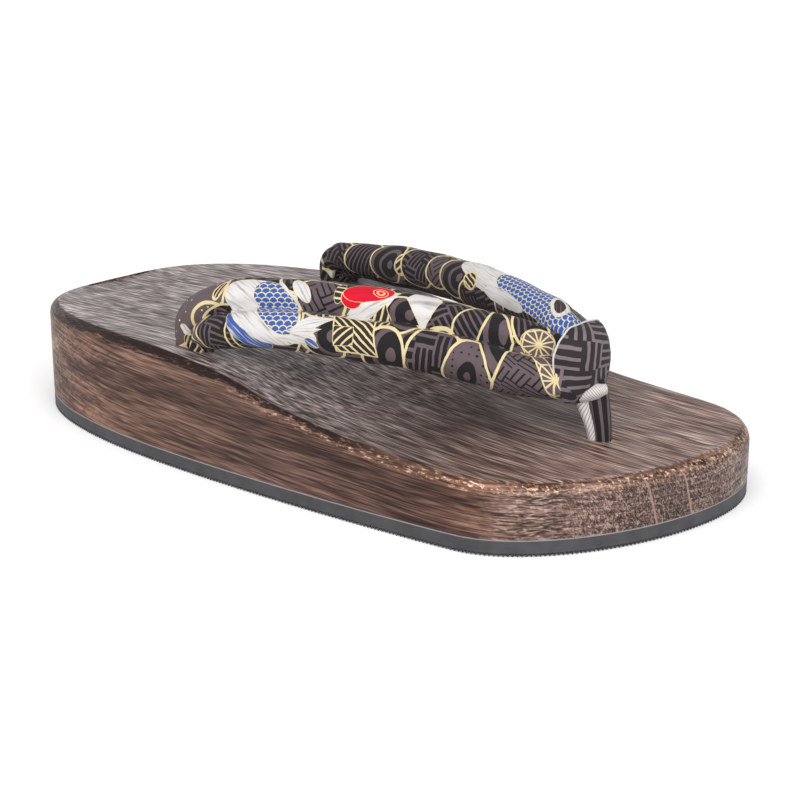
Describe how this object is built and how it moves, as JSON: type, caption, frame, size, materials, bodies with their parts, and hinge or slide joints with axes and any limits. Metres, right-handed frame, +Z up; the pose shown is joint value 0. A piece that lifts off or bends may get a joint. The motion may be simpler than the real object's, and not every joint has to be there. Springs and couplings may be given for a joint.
{
  "type": "geta sandal",
  "caption": "Wedge-shaped wooden sandal on a flat rubber outsole, with padded double-roll cloth straps that meet in a toe loop.",
  "frame": {"origin": "on the floor, under the middle of the sole's bounding box", "axes": "+X towards the toe, +Y towards the big-toe side, +Z up"},
  "size_m": [0.2522, 0.12, 0.0629],
  "materials": {
    "outsole_rubber": "matt",
    "burnt_paulownia": "satin lacquer",
    "strap_cloth": "woven, printed",
    "loop_cloth": "woven, printed"
  },
  "bodies": {
    "root": {"rubber_outsole": "outsole_rubber", "wood_base": "burnt_paulownia", "hanao_straps": "strap_cloth", "toe_loop": "loop_cloth"}
  },
  "joints": []
}
